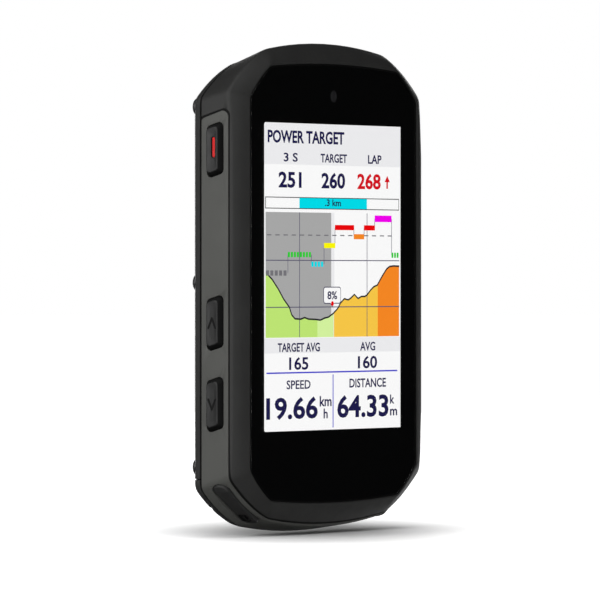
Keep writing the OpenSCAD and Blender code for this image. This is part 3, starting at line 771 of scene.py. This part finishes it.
def side_cap(name):
    """A cap with tapered walls, a rounded shoulder and a slightly dished face."""
    rings = soften(
        [
            side_ring(CAP_FOOT, BUTTON_GAP),
            side_ring(TAPER_START, BUTTON_GAP),
            side_ring(-BUTTON_PROUD, FACE_INSET),
            side_ring(-BUTTON_PROUD + DISH, 1.3),
        ],
        [0.12, SHOULDER],
    )
    return build(name + "_key", at_button(name, skin(rings)))


def shade_skirt(name):
    """A thin near-black sheet on a side button's walls, up to where its shoulder starts: painted shade on the
    walls.
    """
    slope = (FACE_INSET - BUTTON_GAP) / (TAPER_START + BUTTON_PROUD)
    end = SHOULDER * math.cos(math.atan(slope)) - BUTTON_PROUD
    outside = BUTTON_GAP - SHADE_SKIRT_T
    rings = [
        side_ring(CAP_FOOT - 0.1, outside),
        side_ring(TAPER_START, outside),
        side_ring(end, outside + slope * (TAPER_START - end)),
    ]
    bore = [side_ring(s, 1.0) for s in (CAP_FOOT + 1, -BUTTON_PROUD - 1)]
    return cut(build(name + "_skirt", at_button(name, skin(rings))), at_button(name, skin(bore)))


def engraving(name, strokes, low=-1.0, depth=0.16, width=0.4):
    """Bars along strokes of (y, z) points about a button's middle, from low to depth under its face."""
    top = DISH - BUTTON_PROUD if name not in CORNERS else 0.1 - CORNER_PROUD
    for k, (a, b) in enumerate(strokes):
        a, b = np.array(a, float), np.array(b, float)
        along = unit(b - a) * width / 2
        across = np.array([-along[1], along[0]])
        flat = rounded([a - along - across, b + along - across, b + along + across, a - along + across],
                       width * 0.45, 3)
        shift = CORNER_Y - STEM_Y + (0.42 if name not in CORNERS else 0)
        points = [np.stack([np.full(len(flat), s), flat[:, 0] + shift, flat[:, 1]], 1)
                  for s in (top + low - 0.01 * k, top + depth - 0.01 * k)]
        yield at_button(name, skin(points))


CHEVRON = 0.72
GLYPHS = {
    "up": [((-CHEVRON, -0.85), (0, 0.85)), ((0, 0.85), (CHEVRON, -0.85))],
    "down": [((-CHEVRON, 0.85), (0, -0.85)), ((0, -0.85), (CHEVRON, 0.85))],
    "select": [((-0.5, -0.9), (-0.5, 0.9)), ((0.5, -0.9), (0.5, 0.9))],
    "return": [((-CHEVRON, 0), (CHEVRON, 0.9)), ((-CHEVRON, 0), (CHEVRON, -0.9))],
    "lap": [((-0.55, -4.3), (0.55, -4.3)), ((0.55, -4.3), (0.55, -2.6)), ((0.55, -2.6), (-0.55, -2.6)),
            ((-0.55, -2.6), (-0.55, -3.5))],
    "start": [((-0.7, -4.2), (-0.7, -2.6)), ((-0.7, -2.6), (0.7, -3.4)), ((0.7, -3.4), (-0.7, -4.2))],
}
MARK_W, MARK_L = 0.84, 3.7


def mark_shape(s0, s1, drawn_in=0.0, forward=0.0):
    flat = rounded_box(MARK_W - 2 * drawn_in, MARK_L - 2 * drawn_in, MARK_W / 2 - 0.02 - drawn_in,
                       (CORNER_Y - STEM_Y + 0.15 - forward, 0.4))
    return [np.stack([np.full(len(flat), float(s)), flat[:, 0], flat[:, 1]], 1) for s in (s0, s1)]


for name in BUTTONS:
    cap = corner_cap(name) if name in CORNERS else side_cap(name)
    if name in GLYPHS:
        cut(cap, *engraving(name, GLYPHS[name]))
        inlay = build(name + "_glyph", *engraving(name, GLYPHS[name], 0.012, 0.14, 0.385))
        piece(smooth(inlay, merge=0.001), "seal_rubber", name + "_button")
    if name == "power":
        cut(cap, at_button(name, skin(mark_shape(-3, 0.3 - BUTTON_PROUD))))
    piece(smooth(cap, merge=0.006), "button_plastic", name + "_button", [name + "_button"])
    # The corner keys take the lighter copy of the button plastic, which paints light on them
    if name in CORNERS:
        cap.data.materials[0] = materials["corner_plastic"]
    else:
        # Each side key's walls get their near-black sheet of painted shade
        piece(smooth(shade_skirt(name), merge=0.006), "seal_rubber", name + "_button")

MARK_FORWARD = 0.09
a, b = mark_shape(0.3 - BUTTON_PROUD, 0.14 - BUTTON_PROUD, 0.12, MARK_FORWARD)
c, _ = mark_shape(0.08 - BUTTON_PROUD, 0, 0.2, MARK_FORWARD)
mark = build("power_bar", at_button("power", skin([a, b, c])))
piece(smooth(mark, 0.03), "mark_red", "power_button", ["power_mark"])


# ---------------------------------------------------------------- mount and screws


def star(radius, depth0, depth1, place):
    """A six-lobed driver recess."""
    a = np.linspace(0, 2 * math.pi, 48, endpoint=False)
    r = radius * (1 + 0.17 * np.cos(6 * a))
    return slab(np.stack([r * np.cos(a) + place[0], r * np.sin(a) + place[1]], 1), depth0, depth1)


def screws(name, places, profile, recess, slot, node):
    """One screw at each place, from its profile of (radius, depth) pairs."""
    shells = []
    for place in places:
        one = cut(build("screw", turned(profile, place, 40)), star(*recess, place))
        points = [(v.co.x / MM, v.co.y / MM + OVERALL_D, v.co.z / MM) for v in one.data.vertices]
        shells.append((points, [list(p.vertices) for p in one.data.polygons]))
        bpy.data.objects.remove(one)
    piece(smooth(build(name, *shells), 0.04), slot, replaces=[node])


top = SCREW_SEAT + 1.3
screws("case_screws", SCREWS,
       [(SHANK_R, 5.2), (SHANK_R, SCREW_SEAT), (1.62, SCREW_SEAT), (1.62, top - 0.42), (1.5, top - 0.2),
        (1.25, top - 0.06), (0.95, top)],
       (0.72, top - 0.6, FAR), "screw_black", "cover_screws")

hub_end = plate_high[1] + OVERALL_D
head = hub_end - 1.6
screws("mount_bolts", MOUNT_SCREWS,
       [(SHANK_R, 13.6), (SHANK_R, head), (1.5, head), (1.5, head + 0.5), (1.38, head + 0.64),
        (1.1, head + 0.7)],
       (0.68, head + 0.25, FAR), "screw_steel", "mount_screws")

HUB_R = 12.7
TAB_R = plate_high[2]
TAB_T = 1.7
TAB_HALF = math.radians(30)
END_R = 9.5
END_DEPTH = 0.8


def tab(turn):
    """A locking tab: a sector of a ring."""
    a = np.linspace(-TAB_HALF, TAB_HALF, 25)
    rim = np.stack([np.sin(a), np.cos(a)], 1)
    flat = np.concatenate([rim * TAB_R, rim[::-1] * (HUB_R - 1)])
    return moved(slab(flat, hub_end - TAB_T, hub_end), turn=turn)


mount = build("mount_hub", turned(
    [(PLATE_R, PLATE_D), (PLATE_R, PLATEAU_D), (HUB_R, PLATEAU_D), (HUB_R, hub_end), (END_R, hub_end),
     (END_R, hub_end - END_DEPTH)], steps=96))
join(mount, tab(0), tab(math.pi))
cut(
    mount,
    *[turned([(HOLE_R, 0), (HOLE_R, head), (1.6, head), (1.6, FAR)], place) for place in MOUNT_SCREWS],
    *[turned([(0.7, hub_end - 0.35), (1.05, hub_end + 0.1)], (0, side * (TAB_R - 1.5))) for side in (-1, 1)],
    cut(build("groove", turned([(11.4, hub_end - 0.18), (11.4, FAR)], steps=96)),
        turned([(10.9, 0), (10.9, FAR + 1)], steps=96)),
)
piece(smooth(mount, 0.12), "mount_plastic", replaces=["mount_plate"])


# ---------------------------------------------------------------- port

shell = cut(
    build("port_shell", slab(rounded_box(PORT_W, PORT_H, 1.4, (0, PORT_Z)), PORT_START, PORT_MOUTH)),
    slab(rounded_box(PORT_W - 2 * PORT_WALL, PORT_H - 2 * PORT_WALL, 1.2, (0, PORT_Z)), PORT_FLOOR, FAR),
)
piece(smooth(shell, 0.06), "sheet_steel", replaces=["usb_receptacle"])

tongue_end = tongue_high[1] + OVERALL_D
tongue_flat = rounded_box(2 * tongue_high[0], tongue_high[2] - tongue_low[2], 0.12, (0, PORT_Z))
tongue = build("port_tongue", slab(tongue_flat, PORT_FLOOR, tongue_end))
piece(smooth(tongue, 0.05), "chip_plastic", replaces=["usb_tongue"])
contacts = [
    block((x - 0.13, tongue_end - 2.6, z - 0.02), (x + 0.13, tongue_end - 0.35, z + 0.02))
    for x in np.linspace(-2.75, 2.75, 12)
    for z in (tongue_low[2] - 0.015, tongue_high[2] + 0.015)
]
piece(smooth(build("port_contacts", *contacts)), "brass")


# ---------------------------------------------------------------- glass

PRINT_D = 0.28
PRINT_T = 0.03
SENSOR = (0.0, 33.3)
SENSOR_R = 1.05
SCREEN_W, SCREEN_H, SCREEN_Z = 41.774, 53.114, 1.855
LAYER = 0.02
SCREEN_D = 0.5

pane_at = [(RIM, PRINT_D), (RIM, 0), (RIM + 0.4, 0)]
pane = soften([ring(inset(GLASS, t), y, GLASS_SOFT) for t, y in pane_at], [0.1])
window = piece(smooth(build("front_pane", skin(pane))), "glass_black", replaces=["cover_glass"])
window.data.materials[0] = clear_glass("clear_window")

backing = cut(
    build("pane_print", slab(outline(inset(GLASS, RIM), GLASS_SOFT), PRINT_D + 0.01,
                             PRINT_D + 0.01 + PRINT_T)),
    slab(rounded_box(SCREEN_W, SCREEN_H, 0.4, (0, SCREEN_Z)), 0, 1),
    turned([(SENSOR_R, 0), (SENSOR_R, 1)], SENSOR),
)
piece(smooth(backing), "glass_black", replaces=["optical_adhesive"])

lens = turned([(0.3, 0.36), (0.7, 0.38), (SENSOR_R + 0.3, 0.45), (SENSOR_R + 0.3, 1.4)], SENSOR)
piece(smooth(build("sensor_lens", lens)), "chip_plastic", replaces=["light_sensor"])

seal = cut(build("pane_seal", slab(outline(inset(GLASS, 0.01), GLASS_SOFT), 0.07, SEAT_D)),
           slab(outline(inset(GLASS, RIM), GLASS_SOFT), -1, 2))
piece(smooth(seal), "seal_rubber", replaces=["glass_gasket"])

cell = build("screen_cell", slab(rounded_box(SCREEN_W + 1.6, SCREEN_H + 1.6, 0.6, (0, SCREEN_Z)),
                                 SCREEN_D + LAYER, 1.0))
piece(smooth(cell, 0.04), "lcd_cell")


# ---------------------------------------------------------------- the display's picture
# Places on the display are shares of its width from the left and of its height from the top.

INKS = {
    "white": (255, 255, 255),
    "pale": (240, 240, 242),
    "grey": (170, 170, 170),
    "slate": (117, 116, 121),
    "rule": (92, 90, 112),
    "navy": (30, 28, 74),
    "blue": (66, 64, 205),
    "cyan": (0, 222, 235),
    "lime": (193, 233, 118),
    "mint": (215, 246, 161),
    "amber": (251, 202, 72),
    "orange": (249, 137, 36),
    "green": (46, 205, 52),
    "yellow": (255, 250, 5),
    "red": (236, 6, 10),
    "scarlet": (214, 18, 30),
    "magenta": (243, 0, 239),
    "ink": (40, 40, 46),
}
picture = {name: [] for name in INKS}


def on_screen(points):
    share = np.array(points, float)
    return np.stack([(share[:, 0] - 0.5) * SCREEN_W, SCREEN_Z + (0.5 - share[:, 1]) * SCREEN_H], 1)


def patch(ink, layer, flat):
    """A thin solid of this ink over a flat outline in millimetres."""
    y = SCREEN_D - layer * LAYER
    picture[ink].append(slab(flat, y, y + LAYER / 2))


def tile(ink, layer, x0, y0, x1, y1):
    patch(ink, layer, on_screen([(x0, y1), (x1, y1), (x1, y0), (x0, y0)]))


def stroke(ink, layer, points, width):
    """A line of this width in millimetres through the points."""
    path = on_screen(points)
    ahead = unit(np.diff(path, axis=0))
    along = unit(np.concatenate([ahead[:1], ahead[:-1] + ahead[1:], ahead[-1:]]))
    across = np.stack([-along[:, 1], along[:, 0]], 1) * width / 2
    patch(ink, layer, np.concatenate([path - across, (path + across)[::-1]]))


def words(ink, layer, text, x0, y0, x1, y1, weight=0.0):
    """Text stretched to fill a rectangle."""
    curve = bpy.data.curves.new("words", "FONT")
    curve.body = text
    curve.extrude = 0.5
    curve.offset = weight
    curve.resolution_u = 3
    holder = bpy.data.objects.new("words", curve)
    scene.collection.objects.link(holder)
    graph = bpy.context.evaluated_depsgraph_get()
    mesh = bpy.data.meshes.new_from_object(holder.evaluated_get(graph))
    bm = bmesh.new()
    bm.from_mesh(mesh)
    bmesh.ops.remove_doubles(bm, verts=bm.verts, dist=1e-4)
    bm.to_mesh(mesh)
    bm.free()
    points = np.array([v.co for v in mesh.vertices])
    low, high = points.min(0), points.max(0)
    share = (points - low) / (high - low)
    flat = on_screen(np.stack([x0 + (x1 - x0) * share[:, 0], y1 + (y0 - y1) * share[:, 1]], 1))
    y = SCREEN_D - layer * LAYER + (1 - share[:, 2]) * LAYER / 2
    shell_points = np.stack([flat[:, 0], y, flat[:, 1]], 1)
    picture[ink].append((shell_points, [list(p.vertices) for p in mesh.polygons]))
    bpy.data.objects.remove(holder)
    bpy.data.curves.remove(curve)
    bpy.data.meshes.remove(mesh)


tile("white", 0, 0, 0, 1, 1)
# Heading
tile("pale", 1, 0.002, 0.001, 0.998, 0.1345)
words("navy", 2, "POWER TARGET", 0.031, 0.0235, 0.582, 0.0655, 0.03)
words("navy", 2, "3 S", 0.145, 0.0965, 0.245, 0.1255, 0.02)
words("navy", 2, "TARGET", 0.41, 0.0965, 0.602, 0.1255, 0.024)
words("navy", 2, "LAP", 0.757, 0.0965, 0.857, 0.1255, 0.022)
words("navy", 2, "251", 0.108, 0.158, 0.272, 0.2105, 0.03)
words("navy", 2, "260", 0.416, 0.158, 0.588, 0.2105, 0.03)
words("scarlet", 2, "268", 0.678, 0.158, 0.851, 0.2105, 0.03)
stroke("scarlet", 2, [(0.899, 0.207), (0.899, 0.175)], 0.45)
patch("scarlet", 3, on_screen([(0.88, 0.185), (0.918, 0.185), (0.899, 0.164)]))
# Progress bar
BAR = (0.014, 0.24, 0.988, 0.2785)
tile("ink", 1, *BAR)
tile("white", 2, BAR[0] + 0.004, BAR[1] + 0.0028, BAR[2] - 0.004, BAR[3] - 0.0028)
tile("cyan", 3, 0.256, BAR[1] + 0.0028, 0.748, BAR[3] - 0.0028)
words("navy", 4, ".3 km", 0.44, 0.2455, 0.556, 0.268, 0.02)
# Chart
CHART_X0, CHART_X1, CHART_TOP, CHART_BOTTOM, NOW = 0.0165, 0.9885, 0.2895, 0.6965, 0.487
tile("grey", 1, CHART_X0, CHART_TOP, NOW, CHART_BOTTOM)
tile("pale", 1, NOW, CHART_TOP, 0.51, CHART_BOTTOM)
RISE = np.array([
    (0.0165, 0.4858), (0.061, 0.5077), (0.104, 0.5386), (0.142, 0.571), (0.183, 0.5976), (0.2, 0.6226),
    (0.224, 0.6358), (0.264, 0.637), (0.293, 0.632), (0.32, 0.637), (0.3755, 0.6385), (0.407, 0.6408),
    (0.438, 0.634), (0.4655, 0.631), (0.5, 0.6193), (0.535, 0.6017), (0.552, 0.5857), (0.581, 0.5713),
    (0.6095, 0.575), (0.6285, 0.5692), (0.6545, 0.5575), (0.6825, 0.5707), (0.706, 0.5642), (0.732, 0.564),
    (0.749, 0.5588), (0.7745, 0.543), (0.7985, 0.532), (0.824, 0.5268), (0.8595, 0.4979), (0.895, 0.4724),
    (0.9165, 0.465), (0.9455, 0.463), (0.9885, 0.464),
])
for ink, x0, x1 in (("lime", CHART_X0, 0.386), ("mint", 0.386, 0.503), ("amber", 0.5065, 0.829),
                    ("orange", 0.829, CHART_X1)):
    inner = RISE[(RISE[:, 0] > x0) & (RISE[:, 0] < x1)]
    ends = [(x, float(np.interp(x, RISE[:, 0], RISE[:, 1]))) for x in (x0, x1)]
    patch(ink, 2, on_screen([(x0, CHART_BOTTOM), (x1, CHART_BOTTOM), ends[1], *inner[::-1], ends[0]]))
for x in (0.257, 0.749):
    stroke("rule", 3, [(x, CHART_TOP), (x, CHART_BOTTOM)], 0.17)
for y in (0.4457, 0.598):
    stroke("rule", 3, [(CHART_X0, y), (CHART_X1, y)], 0.17)
stroke("ink", 4, RISE, 0.3)
for x in np.arange(0.025, 0.96, 0.0585):
    stroke("slate", 3, [(x, 0.3635), (x + 0.031, 0.3635)], 0.2)
# The plan's steps: ink, start, end, height, and the number of stripes where it is already ridden
STEPS = [
    ("slate", 0.0165, 0.172, 0.487, 5), ("green", 0.172, 0.344, 0.427, 8), ("cyan", 0.341, 0.4335, 0.458, 4),
    ("yellow", 0.432, 0.514, 0.3968, 0), ("red", 0.5115, 0.652, 0.3375, 0), ("orange", 0.65, 0.726, 0.367, 0),
    ("red", 0.725, 0.8055, 0.3375, 0), ("magenta", 0.804, 0.93, 0.307, 0),
    ("green", 0.93, CHART_X1, 0.4275, 3),
]
HALF_BAR = 0.0085
for k, (ink, x0, x1, y, stripes) in enumerate(STEPS):
    half = HALF_BAR * (1.3 if ink == "magenta" else 1)
    if stripes:
        pitch = (x1 - x0) / stripes
        for i in range(stripes):
            tile(ink, 5, x0 + pitch * i, y - half, x0 + pitch * (i + 0.68), y + half)
    else:
        tile(ink, 5, x0, y - half, x1, y + half)
    if k:
        stroke("rule", 4, [(x0 + 0.001, STEPS[k - 1][3]), (x0 + 0.001, y)], 0.14)
# Callout at the present place
patch("navy", 6, rounded_box(5.3, 2.95, 0.5, on_screen([(0.4905, 0.5595)])[0], 3))
patch("navy", 6, on_screen([(0.472, 0.583), (0.51, 0.583), (0.491, 0.5985)]))
patch("white", 7, rounded_box(5.0, 2.65, 0.4, on_screen([(0.4905, 0.5595)])[0], 3))
patch("white", 7, on_screen([(0.4745, 0.5825), (0.5075, 0.5825), (0.491, 0.5955)]))
words("navy", 8, "8%", 0.455, 0.5462, 0.5255, 0.5732, 0.02)
patch("red", 8, circle(0.42, on_screen([(0.491, 0.5868)])[0], 16))
# Averages
tile("pale", 1, 0.002, 0.6985, 0.998, 0.747)
words("navy", 2, "TARGET AVG", 0.102, 0.714, 0.404, 0.7433, 0.022)
words("navy", 2, "AVG", 0.699, 0.714, 0.81, 0.7433, 0.02)
words("navy", 2, "165", 0.183, 0.76, 0.321, 0.802, 0.022)
words("navy", 2, "160", 0.682, 0.76, 0.8245, 0.802, 0.022)
stroke("blue", 2, [(0.022, 0.811), (0.975, 0.811)], 0.26)
stroke("blue", 2, [(0.5, 0.8195), (0.5, 0.993)], 0.26)
# Speed and distance
words("navy", 2, "SPEED", 0.165, 0.8353, 0.337, 0.8645, 0.016)
words("navy", 2, "DISTANCE", 0.62, 0.8342, 0.89, 0.8645, 0.02)
words("navy", 2, "19.66", 0.02, 0.8896, 0.389, 0.963, 0.026)
words("navy", 2, "km", 0.403, 0.889, 0.489, 0.923, 0.02)
words("navy", 2, "h", 0.431, 0.9306, 0.461, 0.9625, 0.02)
words("navy", 2, "64.33", 0.531, 0.888, 0.909, 0.963, 0.026)
words("navy", 2, "k", 0.921, 0.8905, 0.953, 0.9206, 0.02)
words("navy", 2, "m", 0.921, 0.938, 0.974, 0.96, 0.02)

GLOW = 1.05
for name, shells in picture.items():
    image = build("screen_" + name, *shells)
    image.data.materials.append(lit("screen_" + name, linear(*INKS[name]), GLOW))
    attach(image, "housing")


# ---------------------------------------------------------------- camera, floor and light

VIEW_TURN = math.radians(55.139)
VIEW_DISTANCE = 1055.44
AIM_LEFT, AIM_DROP = 6.14, 3.996
LENS = 363.72
look = np.array([math.sin(VIEW_TURN), math.cos(VIEW_TURN), 0])
right = np.array([math.cos(VIEW_TURN), -math.sin(VIEW_TURN), 0])
front = np.array([0, -OVERALL_D, SCREEN_Z])
eye = front - look * VIEW_DISTANCE
aim = front - right * AIM_LEFT - np.array([0, 0, AIM_DROP])

camera = bpy.data.objects.new("camera", bpy.data.cameras.new("camera"))
camera.data.lens = LENS
camera.data.sensor_width = 36
camera.data.clip_start, camera.data.clip_end = 0.05, 20
camera.location = Vector(eye * MM)
camera.rotation_euler = Vector(aim - eye).to_track_quat("-Z", "Y").to_euler()
scene.collection.objects.link(camera)
scene.camera = camera

# The floor glows white for the camera, but its glow fades out over a soft oval round the object's foot,
# stretched along the view: a painted shadow, where only the lamps light the floor
PAINTED_SHADOW_START, PAINTED_SHADOW_END = 8 * MM, 50 * MM
PAINTED_SHADOW_STRETCH = (1.2, 0.62, 1)
floor_z = chin_low[2] - 0.3
bm = bmesh.new()
bmesh.ops.create_grid(bm, x_segments=2, y_segments=2, size=6)
floor_mesh = bpy.data.meshes.new("floor")
bm.to_mesh(floor_mesh)
bm.free()
floor = bpy.data.objects.new("floor", floor_mesh)
floor.location = (4 * MM, -12 * MM, floor_z * MM)
floor.rotation_euler = (0, 0, -VIEW_TURN)
scene.collection.objects.link(floor)
pale, tree = nodes_of("floor")
diffuse = add(tree, "ShaderNodeBsdfDiffuse")
tree.links.new(spread(tree, noise(tree, 400.0), 0.79, 0.81), diffuse.inputs["Color"])
glow = add(tree, "ShaderNodeEmission", Color=(1, 1, 1, 1))
place = add(tree, "ShaderNodeTexCoord")
reach = add(tree, "ShaderNodeVectorMath", operation="LENGTH")
stretched = add(tree, "ShaderNodeVectorMath", operation="MULTIPLY")
stretched.inputs[1].default_value = PAINTED_SHADOW_STRETCH
tree.links.new(place.outputs["Object"], stretched.inputs[0])
tree.links.new(stretched.outputs[0], reach.inputs[0])
# The glow falls away towards the foot: a painted shadow
painted_shadow = add(tree, "ShaderNodeMapRange", interpolation_type="SMOOTHSTEP", From_Min=PAINTED_SHADOW_START,
           From_Max=PAINTED_SHADOW_END)
tree.links.new(reach.outputs["Value"], painted_shadow.inputs["Value"])
seen = add(tree, "ShaderNodeMath", operation="MULTIPLY")
tree.links.new(painted_shadow.outputs["Result"], seen.inputs[0])
tree.links.new(add(tree, "ShaderNodeLightPath").outputs["Is Camera Ray"], seen.inputs[1])
tree.links.new(seen.outputs[0], glow.inputs["Strength"])
both = add(tree, "ShaderNodeAddShader")
out = add(tree, "ShaderNodeOutputMaterial")
tree.links.new(diffuse.outputs[0], both.inputs[0])
tree.links.new(glow.outputs[0], both.inputs[1])
tree.links.new(both.outputs[0], out.inputs["Surface"])
floor_mesh.materials.append(pale)
floor.visible_glossy = floor.visible_shadow = False


def softbox(name, direction, distance, size, power):
    light = bpy.data.objects.new(name, bpy.data.lights.new(name, "AREA"))
    light.data.shape = "RECTANGLE"
    light.data.size, light.data.size_y = size
    light.data.energy = power
    towards = Vector(direction).normalized()
    light.location = towards * distance
    light.rotation_euler = towards.to_track_quat("Z", "Y").to_euler()
    scene.collection.objects.link(light)


softbox("key", (-0.9, 0.32, 0.26), 0.55, (0.25, 0.4), 1.6)
softbox("side_fill", (-0.9, -0.42, 0.2), 0.6, (0.3, 0.5), 1.1)
softbox("top", (-0.3, -0.3, 0.9), 0.5, (0.35, 0.35), 0.9)
softbox("front", (-0.5, -0.8, -0.16), 0.6, (0.25, 0.3), 1.05)
softbox("back_fill", (0.6, 0.9, -0.05), 0.7, (0.5, 0.3), 1.8)
softbox("right_fill", (1, 0.55, 0.25), 0.9, (0.4, 0.4), 1.5)
softbox("right_under", (1, 0.1, -0.3), 0.9, (0.4, 0.4), 0.7)

world = bpy.data.worlds.new("studio")
world.use_nodes = True
scene.world = world
tree = world.node_tree
tree.nodes.clear()
seen = add(tree, "ShaderNodeBackground", Color=(1, 1, 1, 1), Strength=1.0)
ambient = add(tree, "ShaderNodeBackground", Color=(1, 1, 1, 1), Strength=0.01)
path = add(tree, "ShaderNodeLightPath")
choice = add(tree, "ShaderNodeMixShader")
out = add(tree, "ShaderNodeOutputWorld")
tree.links.new(path.outputs["Is Camera Ray"], choice.inputs[0])
tree.links.new(ambient.outputs[0], choice.inputs[1])
tree.links.new(seen.outputs[0], choice.inputs[2])
tree.links.new(choice.outputs[0], out.inputs["Surface"])

scene.view_settings.view_transform = "Standard"
scene.view_settings.look = "None"
